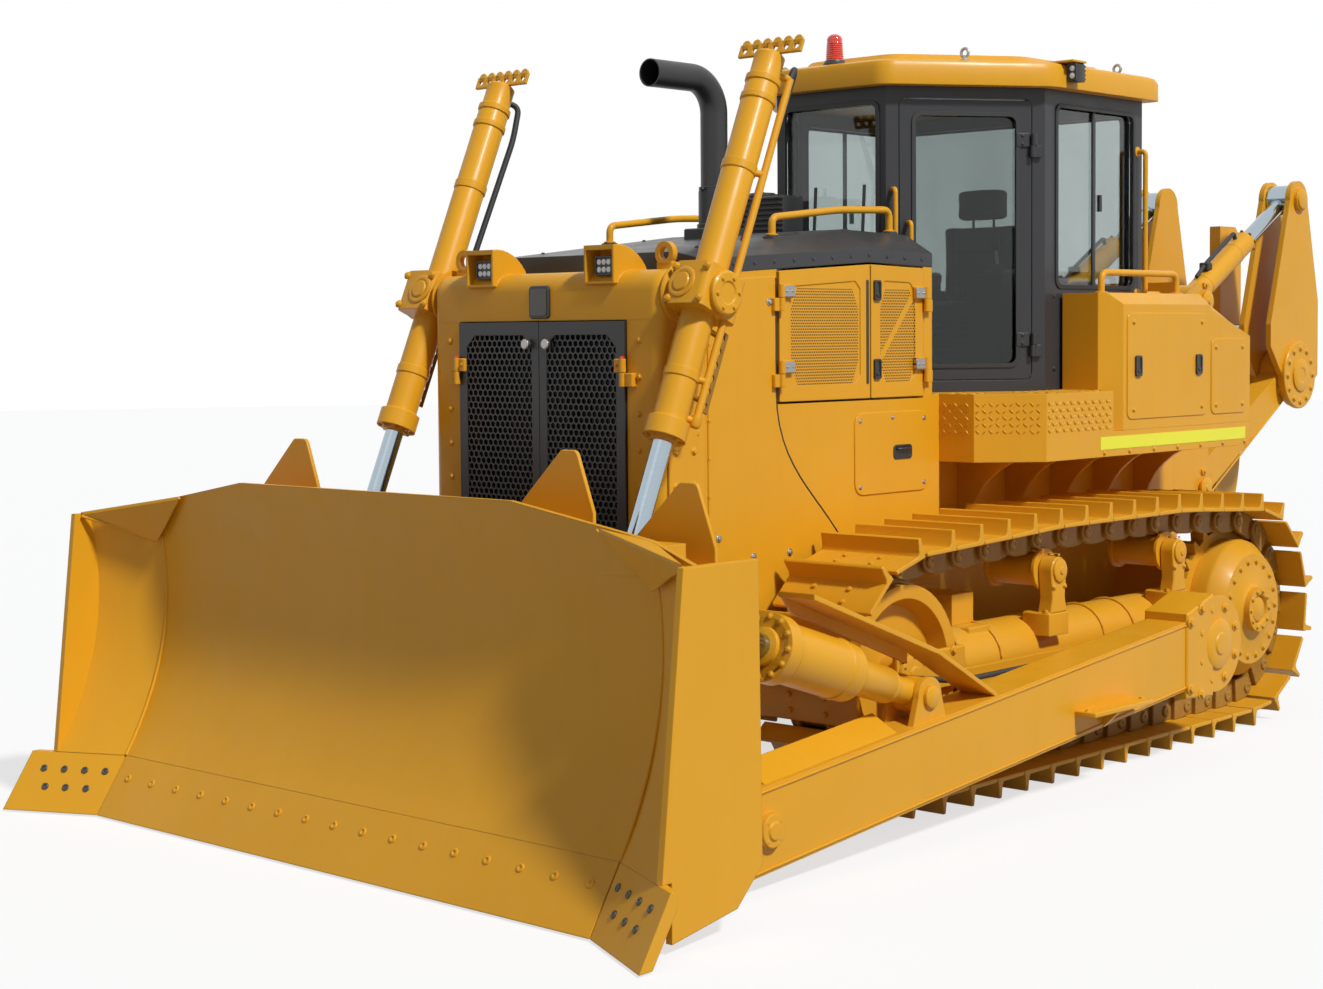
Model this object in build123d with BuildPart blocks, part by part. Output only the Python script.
import math
import os

from build123d import *

os.makedirs("parts", exist_ok=True)

# Running gear
track_gauge = 2140
shoe_width = 560
shoe_count = 41
sprocket_y = 1800
idler_y = -1350
pitch_radius = 490
tip_to_pin = 160
rail_to_pin = 66
shoe_thickness = 22
grouser_height = 80
shoe_gap = 2
rail_inner = 75
rail_outer = 125
rail_notch = 25
rail_shoulder = 45
carrier_ys = (-200, 980)
carrier_z = 1035
carrier_radius = 85
roller_count = 7
roller_radius = 125
roller_first_y = -850
roller_last_y = 1190
frame_inner = 900
frame_outer = 1240
frame_bottom = 490
frame_top = 800
frame_front_y = -920
frame_rear_y = 1250
guard_bottom = 250
trunnion_y = 750
trunnion_z = 600
trunnion_radius = 90
pin_clearance = 0.05

# Hull
hull_half = 600
bay_half = 700
hull_bottom = 500
bay_top = 1000
deck_z = 1905
bay_front_y = -2200
hull_front_y = -400
hull_rear_y = 2150
equaliser_y = -700

# Radiator guard, hood and engine doors
guard_half = 740
guard_front_y = -2490
guard_base = 700
guard_top = 2500
grille_half = 540
grille_base = 1000
grille_top = 2280
skin = 20
door_base = 1900
door_top = 2540
door_margin_z = 10
hood_height = 190
hood_rear_y = -460
door_front_y = -1670
door_split_y = -980
door_back_y = -545
door_skin = 30

# Fenders, boxes and tank
fender_outer = 1190
fender_base = 1565
fender_step = 1695
fender_rear_y = 1960
box_front_y = 490
box_to_cab = 20
box_top = 2415

# Cab
cab_front_half = 360
cab_front_y = -360
cab_side_half = 860
cab_side_y = 350
cab_rear_y = 1330
cab_top = 3480
cab_wall = 60
roof_height = 130

# Blade
edge_y = -3834
edge_rise = 8
edge_height = 255
edge_angle = 57
edge_thickness = 36
blade_top_y = -3530
blade_top = 1565
blade_belly = 170
blade_skin = 28
blade_back_y = -3290
centre_half = 1600
wing_reach = 345
wing_angle = 25.7
top_flat_half = 846
top_end = 1385
arm_inner = 1430
arm_outer = 1650
arm_height = 350
arm_pin_y = -2872
arm_pin_z = 253
arm_end_y = -3062
brace_x = 1540
brace_gap = 60
brace_root_y = -1750
brace_root_z = 640
brace_eye_y = -3200
brace_eye_z = 1101

# Lift cylinders
lift_x = 870
yoke_y = -2350
yoke_z = 2390
lift_eye_y = -3110
lift_eye_z = 620
barrel_radius = 75
rod_radius = 44
barrel_below = 670
barrel_above = 1160
rod_length = 1800

# Door hinges
knuckle_radius = 16
knuckle_length = 60
hinge_pin = 8
hinge_play = 0.3
hinge_stand = 18
hinge_leaf = 50

# Ripper
ripper_x = 470
arm_root_y = 2540
arm_root_z = 1260
arm_dy = 1220
arm_dz = 660
link_root_y = 2550
link_root_z = 2390
lift_root_y = 2470
lift_root_z = 1790
lift_head_y = 3460
lift_head_z = 2180

# Values that follow from the ones above
track_x = track_gauge / 2
sill_z = door_base - door_margin_z
hood_base = door_top + door_margin_z
hood_top = hood_base + hood_height
box_inner = cab_side_half + box_to_cab
wing_half = centre_half + wing_reach
axle_z = pitch_radius + tip_to_pin
rail_z = tip_to_pin + rail_to_pin
link_head_y = link_root_y + arm_dy
link_head_z = link_root_z + arm_dz
beam_y = arm_root_y + arm_dy
beam_z = arm_root_z + arm_dz


def save(piece, name):
    piece.label = name
    export_step(piece, f"parts/{name}.step")


def at_x(x):
    return Plane.YZ.offset(x)


def at_y(y):
    return Plane.XZ.offset(-y)


def prism(plane, points, amount, mode=Mode.ADD):
    with BuildSketch(plane) as outline:
        with BuildLine():
            Polyline(*points, close=True)
        make_face()
    extrude(outline.sketch, amount=amount, mode=mode)


def block(x0, x1, y0, y1, z0, z1, mode=Mode.ADD):
    with Locations(((x0 + x1) / 2, (y0 + y1) / 2, (z0 + z1) / 2)):
        Box(x1 - x0, y1 - y0, z1 - z0, mode=mode)


def bar(start, end, radius, mode=Mode.ADD):
    run = Vector(*end) - Vector(*start)
    with BuildSketch(Plane(origin=start, z_dir=run)) as disc:
        Circle(radius)
    extrude(disc.sketch, amount=run.length, mode=mode)


def cross_bar(x0, x1, y, z, radius, mode=Mode.ADD):
    bar((x0, y, z), (x1, y, z), radius, mode)


def door_knuckle(point, angle, depth, flip=1):
    with Locations(Location(point, (0, 0, angle))):
        with Locations((0, 0, knuckle_length / 2)):
            Cylinder(knuckle_radius, knuckle_length)
        with Locations((-hinge_leaf / 2, flip * (depth / 2 - 2), knuckle_length / 2)):
            Box(hinge_leaf, depth + 6, knuckle_length)
        Cylinder(hinge_pin + hinge_play, 3 * knuckle_length, mode=Mode.SUBTRACT)


def frame_knuckle(point, angle, depth, flip=1):
    with Locations(Location(point, (0, 0, angle))):
        with Locations((0, 0, -knuckle_length / 2 - hinge_play)):
            Cylinder(knuckle_radius, knuckle_length)
        with Locations((hinge_leaf / 2, flip * (depth / 2 - 2), -knuckle_length / 2 - hinge_play)):
            Box(hinge_leaf, depth + 6, knuckle_length)
        Cylinder(hinge_pin, 2 * knuckle_length - 6)


def belt_runs(wheels):
    runs = []
    for (y0, z0, r0), (y1, z1, r1) in zip(wheels, wheels[1:] + wheels[:1]):
        span = math.hypot(y1 - y0, z1 - z0)
        heading = math.atan2(z1 - z0, y1 - y0)
        runs.append(heading - math.pi / 2 + math.asin((r0 - r1) / span))
    return runs


def belt_pins(wheels, count):
    angles = belt_runs(wheels)
    pieces = []
    for i, (y, z, r) in enumerate(wheels):
        ny, nz, nr = wheels[(i + 1) % len(wheels)]
        turn = (angles[i] - angles[i - 1]) % (2 * math.pi)
        pieces.append(("arc", r * turn, y, z, r, angles[i - 1]))
        a = angles[i]
        start = (y + r * math.cos(a), z + r * math.sin(a))
        end = (ny + nr * math.cos(a), nz + nr * math.sin(a))
        pieces.append(("line", math.dist(start, end), start, end))
    total = sum(piece[1] for piece in pieces)
    pins = []
    for k in range(count):
        left = total * k / count
        for piece in pieces:
            if left <= piece[1]:
                break
            left -= piece[1]
        if piece[0] == "arc":
            a = piece[5] + left / piece[4]
            pins.append((piece[2] + piece[4] * math.cos(a), piece[3] + piece[4] * math.sin(a)))
        else:
            part = left / piece[1]
            (sy, sz), (ey, ez) = piece[2], piece[3]
            pins.append((sy + (ey - sy) * part, sz + (ez - sz) * part))
    return pins, total / count


carrier_wrap = carrier_radius + rail_to_pin + 4
wheels = [
    (idler_y, axle_z, pitch_radius),
    (sprocket_y, axle_z, pitch_radius),
    (carrier_ys[1], carrier_z, carrier_wrap),
    (carrier_ys[0], carrier_z, carrier_wrap),
]
pins, pitch = belt_pins(wheels, shoe_count)
chord_drop = pitch_radius - math.sqrt(pitch_radius**2 - (pitch / 2) ** 2)
half = pitch / 2
plate_in = tip_to_pin - grouser_height - shoe_thickness
plate_out = tip_to_pin - grouser_height
shoe_outline = (
    (shoe_gap - half, plate_out),
    (10 - half, tip_to_pin),
    (32 - half, tip_to_pin),
    (46 - half, plate_out),
    (half - shoe_gap, plate_out),
)


def track_edges():
    tips = []
    backs = []
    rails = []
    for i, pin in enumerate(pins):
        before = Vector(*pins[i - 1])
        here = Vector(*pin)
        after = Vector(*pins[(i + 1) % shoe_count])
        across = (after - before).normalized().rotate(Axis.Z, -90)
        along = (after - here).normalized()
        outward = along.rotate(Axis.Z, -90)
        tips.append(here + across * (plate_in + 4))
        for run, rise in shoe_outline:
            tips.append((here + after) / 2 + along * run + outward * rise)
        backs.append(here + across * plate_in)
        rails.append(here - across * rail_notch)
        rails.append(here + along * rail_shoulder - outward * rail_to_pin)
        rails.append(after - along * rail_shoulder - outward * rail_to_pin)
    return tips, backs, rails


tip_edge, back_edge, rail_edge = track_edges()
with BuildPart() as track_left:
    with BuildSketch(at_x(track_x - shoe_width / 2)) as shoes:
        Polygon(*tip_edge, align=None)
        Polygon(*back_edge, align=None, mode=Mode.SUBTRACT)
    extrude(shoes.sketch, amount=shoe_width)
    for rail_x in (-rail_outer, rail_inner):
        with BuildSketch(at_x(track_x + rail_x)) as rail:
            Polygon(*back_edge, align=None)
            Polygon(*rail_edge, align=None, mode=Mode.SUBTRACT)
        extrude(rail.sketch, amount=rail_outer - rail_inner)
save(track_left.part, "track_left")
save(mirror(track_left.part, about=Plane.YZ), "track_right")

# Track frames with idler fork, roller guards, carrier brackets and trunnion
idler_radius = pitch_radius - rail_to_pin - chord_drop - 0.5
fork_wall = 30
with BuildPart() as track_frames:
    prism(
        at_x(frame_inner),
        [
            (frame_front_y, frame_bottom),
            (frame_rear_y, frame_bottom),
            (frame_rear_y, 690),
            (frame_rear_y - 160, frame_top),
            (frame_front_y + 60, frame_top),
            (frame_front_y, frame_top - 60),
        ],
        frame_outer - frame_inner,
    )
    for x in (frame_inner, frame_outer - fork_wall):
        block(x, x + fork_wall, idler_y - 110, frame_front_y, axle_z - 90, axle_z + 90)
        block(x, x + fork_wall, roller_first_y - 90, frame_rear_y, guard_bottom, frame_bottom)
    for y in carrier_ys:
        block(frame_inner, frame_inner + 50, y - 70, y + 70, frame_top, carrier_z + 55)
    cross_bar(frame_outer, arm_outer - 10, trunnion_y, trunnion_z, trunnion_radius)
    mirror(about=Plane.YZ)
save(track_frames.part, "track_frames")

with BuildPart() as idlers:
    cross_bar(frame_inner + fork_wall, frame_outer - fork_wall, idler_y, axle_z, 95)
    cross_bar(track_x - 130, track_x + 130, idler_y, axle_z, idler_radius)
    mirror(about=Plane.YZ)
save(idlers.part, "idlers")

roller_z = rail_z + roller_radius + 0.5
roller_ys = [
    roller_first_y + (roller_last_y - roller_first_y) * k / (roller_count - 1) for k in range(roller_count)
]
with BuildPart() as track_rollers:
    for y in roller_ys:
        cross_bar(frame_inner + fork_wall, frame_outer - fork_wall, y, roller_z, 50)
        cross_bar(track_x - 120, track_x + 120, y, roller_z, roller_radius)
    mirror(about=Plane.YZ)
save(track_rollers.part, "track_rollers")

with BuildPart() as carrier_rollers:
    for y in carrier_ys:
        cross_bar(frame_inner + 50, track_x + 150, y, carrier_z, 45)
        cross_bar(track_x - 110, track_x + 130, y, carrier_z, carrier_radius - 0.5)
    mirror(about=Plane.YZ)
save(carrier_rollers.part, "carrier_rollers")

sprocket_half = 40
case_radius = 330
cover_radius = 385
teeth = 25
root_radius = pitch_radius - 48
with BuildPart() as sprockets:
    with BuildSketch(at_x(track_x - sprocket_half)) as wheel:
        with Locations((sprocket_y, axle_z)):
            Circle(root_radius)
            with PolarLocations(root_radius - 4, teeth):
                Trapezoid(60, 62, 72, align=(Align.CENTER, Align.MIN), rotation=-90)
    extrude(wheel.sketch, amount=2 * sprocket_half)
    mirror(about=Plane.YZ)
save(sprockets.part, "sprockets")

with BuildPart() as final_drives:
    cross_bar(hull_half, track_x - sprocket_half, sprocket_y, axle_z, case_radius)
    cross_bar(track_x + sprocket_half, frame_outer + 60, sprocket_y, axle_z, cover_radius)
    cross_bar(frame_outer + 60, frame_outer + 95, sprocket_y, axle_z, 250)
    prism(
        at_x(frame_outer),
        [
            (trunnion_y + 270, frame_bottom),
            (sprocket_y, frame_bottom - 40),
            (sprocket_y, axle_z + 60),
            (trunnion_y + 270, axle_z + 40),
        ],
        50,
    )
    mirror(about=Plane.YZ)
save(final_drives.part, "final_drives")

# Hull, cross shafts and engine block
pivot_radius = 100
equaliser_height = 150
with BuildPart() as main_frame:
    prism(
        at_x(-hull_half),
        [
            (hull_front_y, hull_bottom),
            (hull_rear_y - 250, hull_bottom),
            (hull_rear_y, hull_bottom + 200),
            (hull_rear_y, deck_z),
            (hull_front_y, deck_z),
        ],
        2 * hull_half,
    )
    prism(
        at_x(-bay_half),
        [
            (bay_front_y, hull_bottom + 140),
            (bay_front_y + 300, hull_bottom + 20),
            (hull_front_y, hull_bottom),
            (hull_front_y, bay_top),
            (bay_front_y, bay_top),
        ],
        2 * bay_half,
    )
    cross_bar(-hull_half, hull_half, trunnion_y, trunnion_z, pivot_radius + 0.2, mode=Mode.SUBTRACT)
    block(
        -bay_half,
        bay_half,
        equaliser_y - 90,
        equaliser_y + 90,
        frame_top,
        frame_top + equaliser_height,
        mode=Mode.SUBTRACT,
    )
save(main_frame.part, "main_frame")

with BuildPart() as cross_shafts:
    cross_bar(-frame_inner, frame_inner, trunnion_y, trunnion_z, pivot_radius)
    block(
        -track_x,
        track_x,
        equaliser_y - 90,
        equaliser_y + 90,
        frame_top,
        frame_top + equaliser_height,
    )
save(cross_shafts.part, "cross_shafts")

with BuildPart() as engine_block:
    block(-400, 400, bay_front_y + 250, hull_front_y - 100, bay_top, hood_base - 200)
save(engine_block.part, "engine_block")

# Radiator guard with the bosses that carry the lift cylinders
yoke_boss = 110
yoke_pin = 55
yoke_gap = 3
yoke_inner = guard_half + 35
leaf_gap = 4
leaf_front_y = guard_front_y - 10
leaf_thickness = 25
grille_hinge_x = grille_half - leaf_gap / 2
grille_hinge_y = leaf_front_y - hinge_stand
grille_hinge_zs = (grille_base + 250, grille_top - 230)
lug_x = 650
lug_y = -2350
lug_thickness = 30
lug_eye = 28
with BuildPart() as radiator_guard:
    block(-guard_half, guard_half, guard_front_y, bay_front_y, guard_base, guard_top)
    block(
        -grille_half, grille_half, guard_front_y, bay_front_y, grille_base, grille_top, mode=Mode.SUBTRACT
    )
    for side in (-1, 1):
        cross_bar(side * guard_half, side * (yoke_inner - yoke_gap), yoke_y, yoke_z, yoke_boss)
        cross_bar(side * guard_half, side * (yoke_inner + 13), yoke_y, yoke_z, yoke_pin)
    prism(
        at_y(lug_y + lug_thickness / 2),
        [
            (lug_x - 80, guard_top),
            (lug_x + 80, guard_top),
            (lug_x + 50, guard_top + 120),
            (lug_x - 50, guard_top + 120),
        ],
        lug_thickness,
    )
    lug_eye_z = guard_top + 70
    bar((lug_x, lug_y - lug_thickness, lug_eye_z), (lug_x, lug_y + lug_thickness, lug_eye_z), lug_eye,
        mode=Mode.SUBTRACT)
    for z in grille_hinge_zs:
        frame_knuckle((grille_hinge_x, grille_hinge_y, z), 0, guard_front_y - grille_hinge_y)
    mirror(about=Plane.YZ)
save(radiator_guard.part, "radiator_guard")

with BuildPart() as radiator_core:
    block(-grille_half, grille_half, bay_front_y - 150, bay_front_y, grille_base, grille_top)
save(radiator_core.part, "radiator_core")

with BuildPart() as grille_door_left:
    block(
        leaf_gap / 2,
        grille_half - leaf_gap,
        leaf_front_y,
        leaf_front_y + leaf_thickness,
        grille_base + leaf_gap,
        grille_top - leaf_gap,
    )
    for z in grille_hinge_zs:
        door_knuckle((grille_hinge_x, grille_hinge_y, z), 0, hinge_stand)
save(grille_door_left.part, "grille_door_left")
save(mirror(grille_door_left.part, about=Plane.YZ), "grille_door_right")

with BuildPart() as front_lamps:
    block(310, 460, guard_front_y - 20, guard_front_y + 160, guard_top, guard_top + 150)
    mirror(about=Plane.YZ)
save(front_lamps.part, "front_lamps")

door_hinge_x = bay_half + door_skin + hinge_stand
door_hinge_zs = (door_base + 130, door_top - 140)
with BuildPart() as side_plates:
    prism(
        at_x(bay_half),
        [
            (bay_front_y, guard_base + 60),
            (equaliser_y - 400, frame_top + equaliser_height + 5),
            (hull_front_y, frame_top + equaliser_height + 5),
            (hull_front_y, deck_z),
            (hood_rear_y, deck_z),
            (hood_rear_y, hood_base),
            (door_back_y + 8, hood_base),
            (door_back_y + 8, sill_z),
            (door_front_y - 8, sill_z),
            (door_front_y - 8, hood_base),
            (bay_front_y, hood_base),
        ],
        skin,
    )
    for z in door_hinge_zs:
        frame_knuckle((door_hinge_x, door_front_y - 4, z), -90, door_hinge_x - bay_half - skin, -1)
        frame_knuckle((door_hinge_x, door_back_y + 4, z), 90, door_hinge_x - bay_half - skin)
    mirror(about=Plane.YZ)
save(side_plates.part, "side_plates")

with BuildPart() as hood:
    prism(
        at_y(bay_front_y),
        [
            (-bay_half - skin, hood_base),
            (bay_half + skin, hood_base),
            (bay_half + skin, hood_base + 50),
            (560, hood_top),
            (-560, hood_top),
            (-bay_half - skin, hood_base + 50),
        ],
        bay_front_y - hood_rear_y,
    )
save(hood.part, "hood")

with BuildPart() as engine_door_front_left:
    block(bay_half, bay_half + door_skin, door_front_y, door_split_y - 5, door_base, door_top)
    for z in door_hinge_zs:
        door_knuckle((door_hinge_x, door_front_y - 4, z), -90, hinge_stand, -1)
save(engine_door_front_left.part, "engine_door_front_left")
save(mirror(engine_door_front_left.part, about=Plane.YZ), "engine_door_front_right")

with BuildPart() as engine_door_rear_left:
    block(bay_half, bay_half + door_skin, door_split_y + 5, door_back_y, door_base, door_top)
    for z in door_hinge_zs:
        door_knuckle((door_hinge_x, door_back_y + 4, z), 90, hinge_stand)
save(engine_door_rear_left.part, "engine_door_rear_left")
save(mirror(engine_door_rear_left.part, about=Plane.YZ), "engine_door_rear_right")

stack_x = -100
stack_y = -1170
stack_radius = 68
stack_bend = 170
stack_top = 3480
stack_reach = 300
with BuildPart() as exhaust_stack:
    bend_z = stack_top - stack_bend
    bend_axis = Axis((stack_x, stack_y - stack_bend, bend_z), (-1, 0, 0))
    bar((stack_x, stack_y, hood_top), (stack_x, stack_y, bend_z), stack_radius)
    with BuildSketch(Plane.XY.offset(bend_z)) as elbow:
        with Locations((stack_x, stack_y)):
            Circle(stack_radius)
    revolve(elbow.sketch, axis=bend_axis, revolution_arc=-90)
    mouth_y = stack_y - stack_bend - stack_reach
    bar((stack_x, stack_y - stack_bend, stack_top), (stack_x, mouth_y, stack_top), stack_radius)
    bar((stack_x, mouth_y + stack_reach, stack_top), (stack_x, mouth_y, stack_top), stack_radius - 6,
        mode=Mode.SUBTRACT)
save(exhaust_stack.part, "exhaust_stack")

# Fenders, boxes and tank
fender_plan = [
    (hull_half, hull_front_y),
    (930, hull_front_y),
    (fender_outer, hull_front_y + 255),
    (fender_outer, fender_rear_y),
    (hull_half, fender_rear_y),
]
with BuildPart() as fenders:
    prism(Plane.XY.offset(fender_base), fender_plan, deck_z - fender_base)
    block(
        box_inner, fender_outer, box_front_y, fender_rear_y, fender_step, deck_z, mode=Mode.SUBTRACT
    )
    block(
        hull_half, bay_half + skin, hull_front_y, hull_front_y + 5, fender_base, deck_z, mode=Mode.SUBTRACT
    )
    mirror(about=Plane.YZ)
save(fenders.part, "fenders")

with BuildPart() as fender_boxes:
    prism(
        at_x(box_inner),
        [
            (box_front_y, fender_step),
            (fender_rear_y, fender_step),
            (fender_rear_y, box_top - 205),
            (fender_rear_y - 430, box_top - 30),
            (fender_rear_y - 470, box_top),
            (box_front_y, box_top),
        ],
        fender_outer - box_inner,
    )
    mirror(about=Plane.YZ)
save(fender_boxes.part, "fender_boxes")

with BuildPart() as fuel_tank:
    block(-hull_half, hull_half, cab_rear_y + 30, hull_rear_y, deck_z, box_top + 30)
save(fuel_tank.part, "fuel_tank")

# Cab
cab_plan = [
    (cab_front_half, cab_front_y),
    (cab_side_half, cab_side_y),
    (cab_side_half, cab_rear_y),
    (-cab_side_half, cab_rear_y),
    (-cab_side_half, cab_side_y),
    (-cab_front_half, cab_front_y),
]
cab_floor = 50
window_base = 2300
window_top = 3400


def wall_plane(start, end):
    run = Vector(end[0] - start[0], end[1] - start[1], 0)
    outward = Vector(run.Y, -run.X, 0)
    return Plane(origin=(start[0], start[1], 0), x_dir=run, z_dir=outward), run.length


def pane(plane, u0, u1, v0, v1, depth, mode):
    with BuildSketch(plane) as sheet:
        with Locations(((u0 + u1) / 2, (v0 + v1) / 2)):
            RectangleRounded(u1 - u0, v1 - v0, 45)
    extrude(sheet.sketch, amount=depth, mode=mode)


front_wall, front_run = wall_plane((-cab_front_half, cab_front_y), (cab_front_half, cab_front_y))
door_wall, door_run = wall_plane(cab_plan[0], cab_plan[1])
side_wall, side_run = wall_plane(cab_plan[1], cab_plan[2])
rear_wall, rear_run = wall_plane(cab_plan[2], cab_plan[3])
door_margin = 70
door_low = deck_z + 60
door_high = cab_top - 60
door_gap = 6
door_depth = 50
door_turn = math.degrees(math.atan2(cab_side_y - cab_front_y, cab_side_half - cab_front_half))
cab_hinge = door_wall.from_local_coords((door_run - door_margin - door_gap / 2, 0, hinge_stand))
cab_hinge_zs = (door_low + 180, door_high - 240)
with BuildPart() as cab_hinges:
    for z in cab_hinge_zs:
        frame_knuckle((cab_hinge.X, cab_hinge.Y, z), door_turn, hinge_stand)

with BuildPart() as door_hole:
    pane(door_wall, door_margin, door_run - door_margin, door_low, door_high, -cab_wall - 40, Mode.ADD)

with BuildPart() as cab_frame:
    with BuildSketch(Plane.XY.offset(deck_z)) as plan:
        Polygon(*cab_plan, align=None)
    extrude(plan.sketch, amount=cab_top - deck_z)
    with BuildSketch(Plane.XY.offset(deck_z + cab_floor)) as inside:
        Polygon(*cab_plan, align=None)
        offset(amount=-cab_wall, kind=Kind.INTERSECTION)
    extrude(inside.sketch, amount=cab_top - deck_z, mode=Mode.SUBTRACT)
    pane(front_wall, 50, front_run - 50, window_base, window_top, -2 * cab_wall, Mode.SUBTRACT)
    pane(rear_wall, 110, rear_run - 110, window_base + 150, window_top, -2 * cab_wall, Mode.SUBTRACT)
    for wall in (side_wall, side_wall.offset(-2 * cab_side_half + 2 * cab_wall)):
        pane(wall, 110, side_run - 90, window_base + 150, window_top, -2 * cab_wall, Mode.SUBTRACT)
    add(door_hole.part, mode=Mode.SUBTRACT)
    add(mirror(door_hole.part, about=Plane.YZ), mode=Mode.SUBTRACT)
    add(cab_hinges.part)
    add(mirror(cab_hinges.part, about=Plane.YZ))
save(cab_frame.part, "cab_frame")

with BuildPart() as cab_windows:
    glass = 8
    fit = 0.3
    inset = -cab_wall / 2
    pane(front_wall.offset(inset), 50 + fit, front_run - 50 - fit, window_base + fit, window_top - fit, glass,
         Mode.ADD)
    pane(rear_wall.offset(inset), 110 + fit, rear_run - 110 - fit, window_base + 150 + fit, window_top - fit,
         glass, Mode.ADD)
    for wall in (side_wall.offset(inset), side_wall.offset(-2 * cab_side_half - inset)):
        pane(wall, 110 + fit, side_run - 90 - fit, window_base + 150 + fit, window_top - fit, glass, Mode.ADD)
save(cab_windows.part, "cab_windows")

pane_low = 2280
with BuildPart() as cab_door_left:
    pane(door_wall, door_margin + door_gap, door_run - door_margin - door_gap, door_low + door_gap,
         door_high - door_gap, -door_depth, Mode.ADD)
    pane(door_wall, door_margin + 80, door_run - door_margin - 80, pane_low, door_high - 80, -door_depth,
         Mode.SUBTRACT)
    for z in cab_hinge_zs:
        door_knuckle((cab_hinge.X, cab_hinge.Y, z), door_turn, hinge_stand)
save(cab_door_left.part, "cab_door_left")
save(mirror(cab_door_left.part, about=Plane.YZ), "cab_door_right")

with BuildPart() as cab_door_glass_left:
    pane(door_wall.offset(-20), door_margin + 80.3, door_run - door_margin - 80.3, pane_low + 0.3,
         door_high - 80.3, -8, Mode.ADD)
save(cab_door_glass_left.part, "cab_door_glass_left")
save(mirror(cab_door_glass_left.part, about=Plane.YZ), "cab_door_glass_right")

roof_lip = 80
with BuildPart() as cab_roof:
    with BuildSketch(Plane.XY.offset(cab_top)) as eaves:
        Polygon(*cab_plan, align=None)
        offset(amount=roof_lip, kind=Kind.INTERSECTION)
    extrude(eaves.sketch, amount=roof_height)
    with BuildSketch(Plane.XY.offset(cab_top + roof_height)) as crown:
        Polygon(*cab_plan, align=None)
        offset(amount=-120, kind=Kind.INTERSECTION)
    extrude(crown.sketch, amount=60)
save(cab_roof.part, "cab_roof")

with BuildPart() as roof_lights:
    with Locations((0, -120, cab_top + roof_height + 60)):
        Cylinder(60, 110, align=(Align.CENTER, Align.CENTER, Align.MIN))
    block(780, 900, 380, 500, cab_top + roof_height, cab_top + roof_height + 100)
    block(-900, -780, 380, 500, cab_top + roof_height, cab_top + roof_height + 100)
save(roof_lights.part, "roof_lights")

floor_z = deck_z + cab_floor
with BuildPart() as operator_seat:
    block(-200, 200, 600, 1000, floor_z, floor_z + 300)
    block(-270, 270, 520, 1080, floor_z + 300, floor_z + 430)
    block(-270, 270, 960, 1110, floor_z + 430, floor_z + 1080)
save(operator_seat.part, "operator_seat")

with BuildPart() as control_consoles:
    for side in (-1, 1):
        block(side * 430 - 110, side * 430 + 110, 420, 1080, floor_z, floor_z + 560)
    block(-200, 200, -190, -60, floor_z, floor_z + 650)
save(control_consoles.part, "control_consoles")

rail_radius = 18
with BuildPart() as handrails:
    for start, end, foot in (
        ((530, -1480, hood_top + 110), (530, -440, hood_top + 110), hood_top),
        ((1050, 620, box_top + 110), (1050, 1400, box_top + 110), box_top),
    ):
        bar(start, end, rail_radius)
        for point in (start, end):
            bar((point[0], point[1], foot), (point[0], point[1], point[2] + rail_radius), rail_radius)
    mirror(about=Plane.YZ)
save(handrails.part, "handrails")

# Blade
lean = edge_height / math.tan(math.radians(edge_angle))
foot_y = edge_y + lean
foot_z = edge_rise + edge_height
belly_y = (foot_y + blade_top_y) / 2 + blade_belly
belly_z = (foot_z + blade_top) / 2
wing_run = (wing_half - centre_half) / math.cos(math.radians(wing_angle))
wing_dir = (math.cos(math.radians(wing_angle)), -math.sin(math.radians(wing_angle)), 0)


def blade_section(x, band=None):
    with BuildSketch(at_x(x)) as section:
        with BuildLine():
            ThreePointArc((foot_y, foot_z), (belly_y, belly_z), (blade_top_y, blade_top))
            if band:
                Polyline((blade_top_y, blade_top), (blade_back_y, blade_top), (blade_back_y, 120),
                         (foot_y + edge_thickness, 120), (foot_y + edge_thickness, foot_z), (foot_y, foot_z))
            else:
                Line((blade_top_y, blade_top), (blade_top_y + blade_skin, blade_top))
                ThreePointArc((blade_top_y + blade_skin, blade_top), (belly_y + blade_skin, belly_z),
                              (foot_y + blade_skin, foot_z))
                Line((foot_y + blade_skin, foot_z), (foot_y, foot_z))
        make_face()
        if band:
            with Locations((blade_back_y - 300, (band[0] + band[1]) / 2)):
                Rectangle(1000, band[1] - band[0], mode=Mode.INTERSECT)
    return section.sketch


def ear_plate(x, thickness, y, z, radius, flare):
    with BuildSketch(at_x(x)) as ear:
        with Locations((y, z)):
            Circle(radius)
        with BuildLine():
            Polyline((y, z + radius), (blade_back_y - 60, z + flare), (blade_back_y - 60, z - flare),
                     (y, z - radius), close=True)
        make_face()
    extrude(ear.sketch, amount=thickness)


def arm_z(y):
    return trunnion_z + (y - trunnion_y) * (arm_pin_z - trunnion_z) / (arm_pin_y - trunnion_y)


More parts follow.
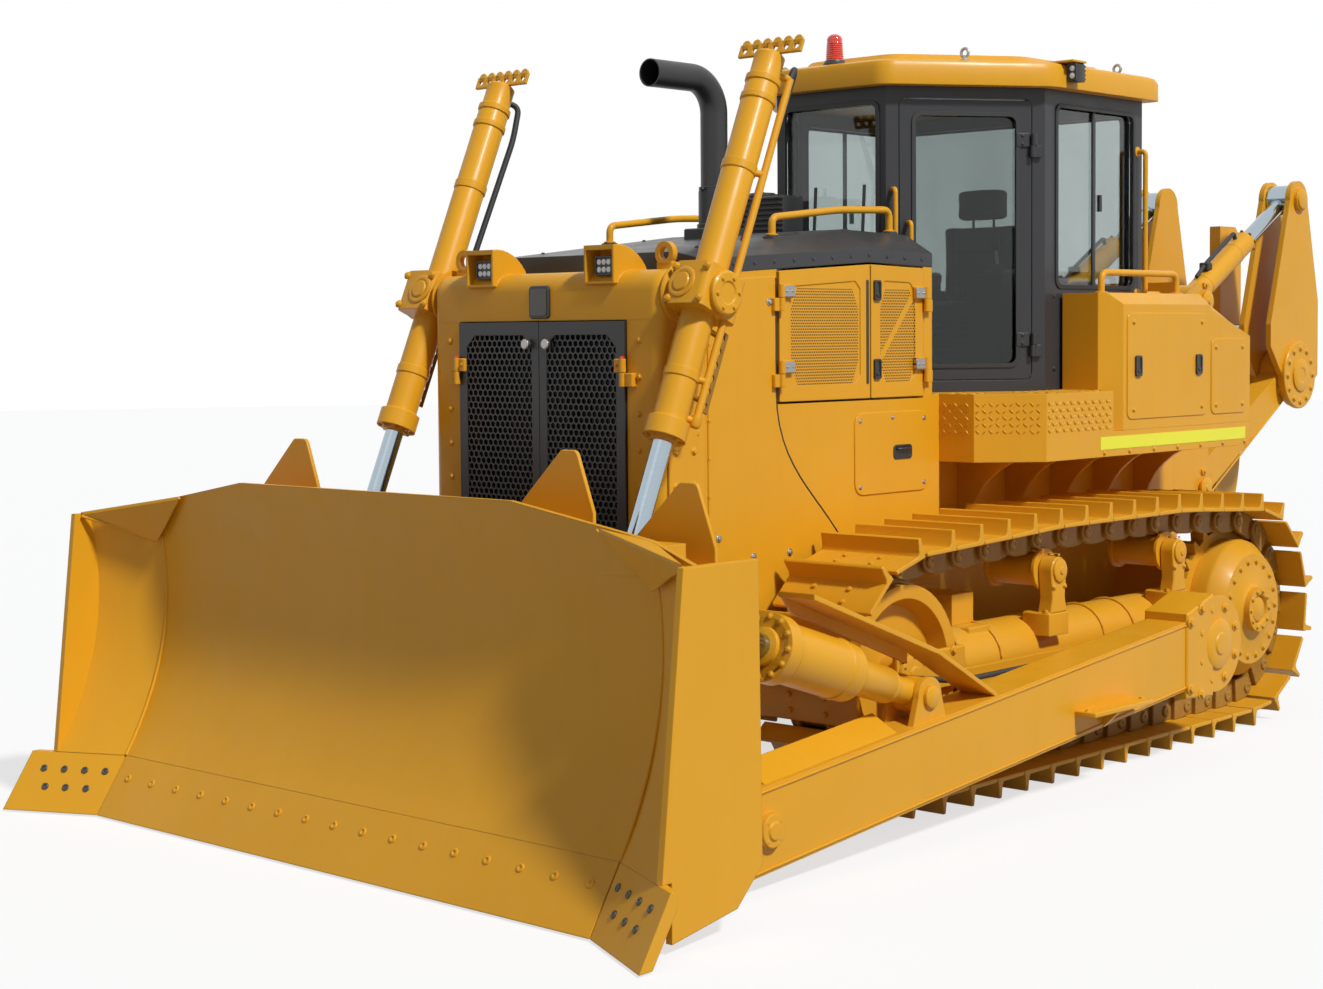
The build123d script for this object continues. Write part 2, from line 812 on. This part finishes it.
beam_bands = ((120, 780), (1000, 1420))
beam_half = arm_outer - 50
rib_count = 8
rib_half = 15
rib_xs = [(2 * k / (rib_count - 1) - 1) * (centre_half - 100) for k in range(rib_count)]
ear_gap = 56
ear_thickness = 30
with BuildPart() as blade_mouldboard:
    extrude(blade_section(-centre_half), amount=2 * centre_half)
    extrude(blade_section(centre_half), amount=wing_run, dir=wing_dir)
    for band in beam_bands:
        extrude(blade_section(-beam_half, band), amount=2 * beam_half)
    for x in rib_xs:
        extrude(blade_section(x - rib_half, (160, 1360)), amount=2 * rib_half)
    prism(
        at_x(wing_half - 15),
        [
            (blade_top_y - 175, top_end),
            (blade_back_y, top_end),
            (blade_back_y + 15, 240),
            (blade_back_y - 130, 100),
            (foot_y - 110, 40),
            (foot_y - 110, foot_z),
            (foot_y - 160, foot_z),
        ],
        30,
    )
    for x in (-ear_gap - ear_thickness, ear_gap):
        ear_plate(lift_x + x, ear_thickness, lift_eye_y, lift_eye_z, 95, 150)
    for x in (-brace_gap - ear_thickness, brace_gap):
        ear_plate(brace_x + x, ear_thickness, brace_eye_y, brace_eye_z, 85, 120)
    block(arm_inner + 40, arm_outer - 40, blade_back_y - 60, arm_end_y, 120, 400)
    mirror(about=Plane.YZ)
    for side in (-1, 1):
        prism(
            at_y(0),
            [
                (side * top_flat_half, blade_top + 5),
                (side * (wing_half + 255), blade_top + 5),
                (side * (wing_half + 255), top_end - 43),
                (side * wing_half, top_end),
            ],
            -2 * edge_y,
            mode=Mode.SUBTRACT,
        )
save(blade_mouldboard.part, "blade_mouldboard")

edge_outline = [
    (edge_y, edge_rise),
    (foot_y, foot_z),
    (foot_y + edge_thickness, foot_z),
    (foot_y + edge_thickness, foot_z - 60),
    (edge_y + 70, edge_rise),
]
edge_joint = 3
with BuildPart() as cutting_edge:
    prism(at_x(-centre_half + edge_joint), edge_outline, 2 * (centre_half - edge_joint))
save(cutting_edge.part, "cutting_edge")

bit_reach = 115
with BuildPart() as end_bits:
    with BuildSketch(at_x(centre_half + edge_joint)) as bit:
        Polygon(*edge_outline, align=None)
    extrude(bit.sketch, amount=wing_run + bit_reach, dir=wing_dir)
    mirror(about=Plane.YZ)
save(end_bits.part, "end_bits")

with BuildPart() as push_arms:
    prism(
        at_x(arm_inner),
        [
            (trunnion_y - 150, arm_z(trunnion_y - 150) + arm_height / 2),
            (arm_end_y, arm_z(arm_end_y) + arm_height / 2),
            (arm_end_y, arm_z(arm_end_y) - arm_height / 2),
            (trunnion_y - 150, arm_z(trunnion_y - 150) - arm_height / 2),
        ],
        arm_outer - arm_inner,
    )
    cross_bar(arm_inner, arm_outer, trunnion_y, trunnion_z, 250)
    cross_bar(arm_inner - 1, arm_outer + 1, trunnion_y, trunnion_z, trunnion_radius + pin_clearance,
              mode=Mode.SUBTRACT)
    cross_bar(arm_inner, arm_outer + 25, arm_pin_y, arm_pin_z, 75)
    for x in (-brace_gap - ear_thickness, brace_gap):
        with BuildSketch(at_x(brace_x + x)) as clevis:
            with Locations((brace_root_y, brace_root_z)):
                Circle(85)
            with BuildLine():
                Polyline((brace_root_y - 85, brace_root_z), (brace_root_y + 85, brace_root_z),
                         (brace_root_y + 180, arm_z(brace_root_y)), (brace_root_y - 180, arm_z(brace_root_y)),
                         close=True)
            make_face()
        extrude(clevis.sketch, amount=ear_thickness)
    mirror(about=Plane.YZ)
save(push_arms.part, "push_arms")

brace_run = Vector(0, brace_eye_y - brace_root_y, brace_eye_z - brace_root_z)
brace_dir = brace_run.normalized()


def on_brace(side, distance):
    return Vector(side * brace_x, brace_root_y, brace_root_z) + brace_dir * distance


with BuildPart() as tilt_cylinder:
    cross_bar(brace_x - brace_gap, brace_x + brace_gap, brace_root_y, brace_root_z, 80)
    bar(on_brace(1, 0), on_brace(1, 240), brace_gap - 2)
    bar(on_brace(1, 200), on_brace(1, 540), 75)
    bar(on_brace(1, 514), on_brace(1, 1060), 125)
save(tilt_cylinder.part, "tilt_cylinder")

with BuildPart() as tilt_rod:
    cross_bar(brace_x - brace_gap, brace_x + brace_gap, brace_eye_y, brace_eye_z, 80)
    bar(on_brace(1, 1060), on_brace(1, brace_run.length), 50)
save(tilt_rod.part, "tilt_rod")

with BuildPart() as tilt_brace:
    for y, z in ((brace_root_y, brace_root_z), (brace_eye_y, brace_eye_z)):
        cross_bar(-brace_x - brace_gap, -brace_x + brace_gap, y, z, 80)
    bar(on_brace(-1, 0), on_brace(-1, brace_run.length), brace_gap - 2)
    bar(on_brace(-1, 300), on_brace(-1, 1150), 85)
save(tilt_brace.part, "tilt_brace")

# Lift cylinders
lift_run = Vector(0, lift_eye_y - yoke_y, lift_eye_z - yoke_z)
lift_dir = lift_run.normalized()


def on_lift(distance):
    return Vector(lift_x, yoke_y, yoke_z) + lift_dir * distance


bore_radius = 50
yoke_outer = 985
with BuildPart() as lift_cylinder_left:
    bar(on_lift(-barrel_above), on_lift(barrel_below), barrel_radius)
    bar(on_lift(barrel_below - 80), on_lift(barrel_below), barrel_radius + 20)
    with Locations(Plane(origin=on_lift(0), x_dir=(1, 0, 0), z_dir=lift_dir)):
        with Locations(((yoke_inner + yoke_outer) / 2 - lift_x, 0, 0)):
            Box(yoke_outer - yoke_inner, 260, 200)
    bar(on_lift(40 - barrel_above), on_lift(barrel_below), bore_radius, mode=Mode.SUBTRACT)
    cross_bar(yoke_inner - 1, yoke_inner + 14, yoke_y, yoke_z, yoke_pin + pin_clearance, mode=Mode.SUBTRACT)
save(lift_cylinder_left.part, "lift_cylinder_left")
save(mirror(lift_cylinder_left.part, about=Plane.YZ), "lift_cylinder_right")

with BuildPart() as lift_rod_left:
    bar(on_lift(lift_run.length - rod_length), on_lift(lift_run.length), rod_radius)
    bar(on_lift(lift_run.length - rod_length), on_lift(lift_run.length - rod_length + 90), bore_radius - 0.3)
    cross_bar(lift_x - ear_gap + 6, lift_x + ear_gap - 6, lift_eye_y, lift_eye_z, 82)
save(lift_rod_left.part, "lift_rod_left")
save(mirror(lift_rod_left.part, about=Plane.YZ), "lift_rod_right")

# Ripper
lane_half = 75
lane_plate = 35
lug_play = 5
lift_half = 65
lift_lane = ripper_x - lane_half - lane_plate - lift_half
plate_xs = (
    lift_lane - lift_half - lane_plate,
    ripper_x - lane_half - lane_plate,
    ripper_x + lane_half,
)
hitch_pin = 55
bracket_skin = 40
with BuildPart() as ripper_bracket:
    block(-hull_half, hull_half, hull_rear_y, hull_rear_y + bracket_skin, hull_bottom + 400, box_top + 85)
    for x in plate_xs[1:]:
        prism(
            at_x(x),
            [
                (hull_rear_y, arm_root_z - 300),
                (arm_root_y + 30, arm_root_z - 110),
                (arm_root_y + 110, arm_root_z),
                (arm_root_y + 80, arm_root_z + 110),
                (lift_root_y + 90, lift_root_z),
                (link_root_y + 100, link_root_z - 40),
                (link_root_y + 70, link_root_z + 95),
                (link_root_y - 60, link_root_z + 110),
                (hull_rear_y, link_root_z - 100),
            ],
            lane_plate,
        )
    prism(
        at_x(plate_xs[0]),
        [
            (hull_rear_y, lift_root_z - 250),
            (lift_root_y + 30, lift_root_z - 90),
            (lift_root_y + 90, lift_root_z),
            (lift_root_y + 30, lift_root_z + 90),
            (hull_rear_y, lift_root_z + 250),
        ],
        lane_plate,
    )
    for y, z in ((arm_root_y, arm_root_z), (link_root_y, link_root_z)):
        cross_bar(plate_xs[1], plate_xs[2] + lane_plate + 15, y, z, hitch_pin)
    cross_bar(plate_xs[0], plate_xs[1], lift_root_y, lift_root_z, hitch_pin)
    mirror(about=Plane.YZ)
save(ripper_bracket.part, "ripper_bracket")

ripper_run = Vector(0, arm_dy, arm_dz)
arm_width = lane_half - lug_play


def eye_bar(x, half_width, root, head, root_radius, bar_radius, stop):
    run = Vector(0, head[0] - root[0], head[1] - root[1])
    start = Vector(x, root[0], root[1])
    cross_bar(x - half_width, x + half_width, root[0], root[1], root_radius)
    bar(start, start + run.normalized() * stop, bar_radius)


arm_root = (arm_root_y, arm_root_z)
arm_head = (beam_y, beam_z)
boss_radius = 160
with BuildPart() as ripper_arms:
    cross_bar(ripper_x - arm_width, ripper_x + arm_width, *arm_root, 110)
    cross_bar(ripper_x - arm_width, ripper_x + arm_width, *arm_head, boss_radius)
    with Locations(Plane(origin=(ripper_x, *arm_root), x_dir=(1, 0, 0), z_dir=ripper_run)):
        Box(2 * arm_width, 190, ripper_run.length, align=(Align.CENTER, Align.CENTER, Align.MIN))
    for y, z in (arm_root, arm_head):
        cross_bar(ripper_x - lane_half, ripper_x + lane_half, y, z, hitch_pin + pin_clearance,
                  mode=Mode.SUBTRACT)
    tube = Vector(0, *arm_root) + ripper_run * 0.35
    cross_bar(0, ripper_x - arm_width, tube.Y, tube.Z, 75)
    mirror(about=Plane.YZ)
save(ripper_arms.part, "ripper_arms")

shank_half = 38
shank_front = beam_y - 18
shank_back = beam_y + 268
with BuildPart() as ripper_beam:
    for x in plate_xs[1:]:
        with BuildSketch(at_x(x)) as upright:
            with Locations((beam_y, beam_z)):
                Circle(200)
            with Locations((link_head_y, link_head_z)):
                Circle(120)
            with BuildLine():
                Polyline((link_head_y - 118, link_head_z), (link_head_y + 118, link_head_z),
                         (beam_y + 290, beam_z + 480), (beam_y + 290, beam_z), (beam_y, beam_z - 200),
                         (beam_y - 200, beam_z), (lift_head_y - 60, lift_head_z - 70),
                         (lift_head_y - 60, lift_head_z + 70), close=True)
            make_face()
        extrude(upright.sketch, amount=lane_plate)
    for y, z in ((beam_y, beam_z), (link_head_y, link_head_z)):
        cross_bar(plate_xs[1], plate_xs[2] + lane_plate + 15, y, z, hitch_pin)
    prism(
        at_x(plate_xs[0]),
        [
            (beam_y - 30, beam_z - 60),
            (beam_y - 30, beam_z + 320),
            (lift_head_y, lift_head_z + 85),
            (lift_head_y - 80, lift_head_z),
            (lift_head_y, lift_head_z - 85),
        ],
        lane_plate,
    )
    block(0, plate_xs[1], beam_y - 40, beam_y + 290, beam_z - 90, beam_z + 320)
    mirror(about=Plane.YZ)
    block(-shank_half - 2, shank_half + 2, shank_front - 2, shank_back + 2, beam_z - 100, beam_z + 330,
          mode=Mode.SUBTRACT)
save(ripper_beam.part, "ripper_beam")

shank_top = 2900
shank_tip = 700
shank_eye = 40
with BuildPart() as ripper_shank:
    with BuildSketch(at_x(-shank_half)) as blade_shape:
        with BuildLine():
            front = Line((shank_front, shank_top), (shank_front, 1500))
            ThreePointArc(front @ 1, (shank_front - 60, 1120), (shank_front - 230, shank_tip + 60))
            Polyline((shank_front - 230, shank_tip + 60), (shank_front - 250, shank_tip),
                     (shank_front - 60, shank_tip + 40))
            ThreePointArc((shank_front - 60, shank_tip + 40), (shank_back - 60, 1120), (shank_back, 1500))
            Line((shank_back, 1500), (shank_back, shank_top - 80))
            Polyline((shank_back, shank_top - 80), (shank_back - 80, shank_top), (shank_front, shank_top))
        make_face()
    extrude(blade_shape.sketch, amount=2 * shank_half)
    block(-shank_half - 2, shank_half + 2, shank_front - 2, shank_back + 2, beam_z + 100, beam_z + 140)
    cross_bar(-shank_half, shank_half, (shank_front + shank_back) / 2, shank_top - 90, shank_eye,
              mode=Mode.SUBTRACT)
save(ripper_shank.part, "ripper_shank")

link_run = Vector(0, arm_dy, arm_dz)
link_split = 800
link_root = (link_root_y, link_root_z)
link_head = (link_head_y, link_head_z)
with BuildPart() as ripper_tilt_cylinders:
    eye_bar(ripper_x, arm_width, link_root, link_head, 100, 70, link_split)
    cross_bar(ripper_x - lane_half, ripper_x + lane_half, *link_root, hitch_pin + pin_clearance,
              mode=Mode.SUBTRACT)
    mirror(about=Plane.YZ)
save(ripper_tilt_cylinders.part, "ripper_tilt_cylinders")

with BuildPart() as ripper_tilt_rods:
    eye_bar(ripper_x, arm_width, link_head, link_root, 95, 45, link_run.length - link_split)
    cross_bar(ripper_x - lane_half, ripper_x + lane_half, *link_head, hitch_pin + pin_clearance,
              mode=Mode.SUBTRACT)
    mirror(about=Plane.YZ)
save(ripper_tilt_rods.part, "ripper_tilt_rods")

lift_root = (lift_root_y, lift_root_z)
lift_head = (lift_head_y, lift_head_z)
ripper_lift = Vector(0, lift_head_y - lift_root_y, lift_head_z - lift_root_z)
ripper_barrel = 760
ripper_bore = 45
ripper_rod = 40
with BuildPart() as ripper_lift_cylinders:
    eye_bar(lift_lane, lift_half - lug_play, lift_root, lift_head, 85, 65, ripper_barrel)
    start = Vector(lift_lane, *lift_root)
    bar(start + ripper_lift.normalized() * 90, start + ripper_lift.normalized() * ripper_barrel, ripper_bore,
        mode=Mode.SUBTRACT)
    cross_bar(lift_lane - lift_half, lift_lane + lift_half, *lift_root, hitch_pin + pin_clearance,
              mode=Mode.SUBTRACT)
    mirror(about=Plane.YZ)
save(ripper_lift_cylinders.part, "ripper_lift_cylinders")

with BuildPart() as ripper_lift_rods:
    eye_bar(lift_lane, lift_half - lug_play, lift_head, lift_root, 75, ripper_rod, ripper_lift.length - 120)
    piston = Vector(lift_lane, *lift_root) + ripper_lift.normalized() * 120
    bar(piston, piston + ripper_lift.normalized() * 80, ripper_bore - 0.3)
    mirror(about=Plane.YZ)
save(ripper_lift_rods.part, "ripper_lift_rods")
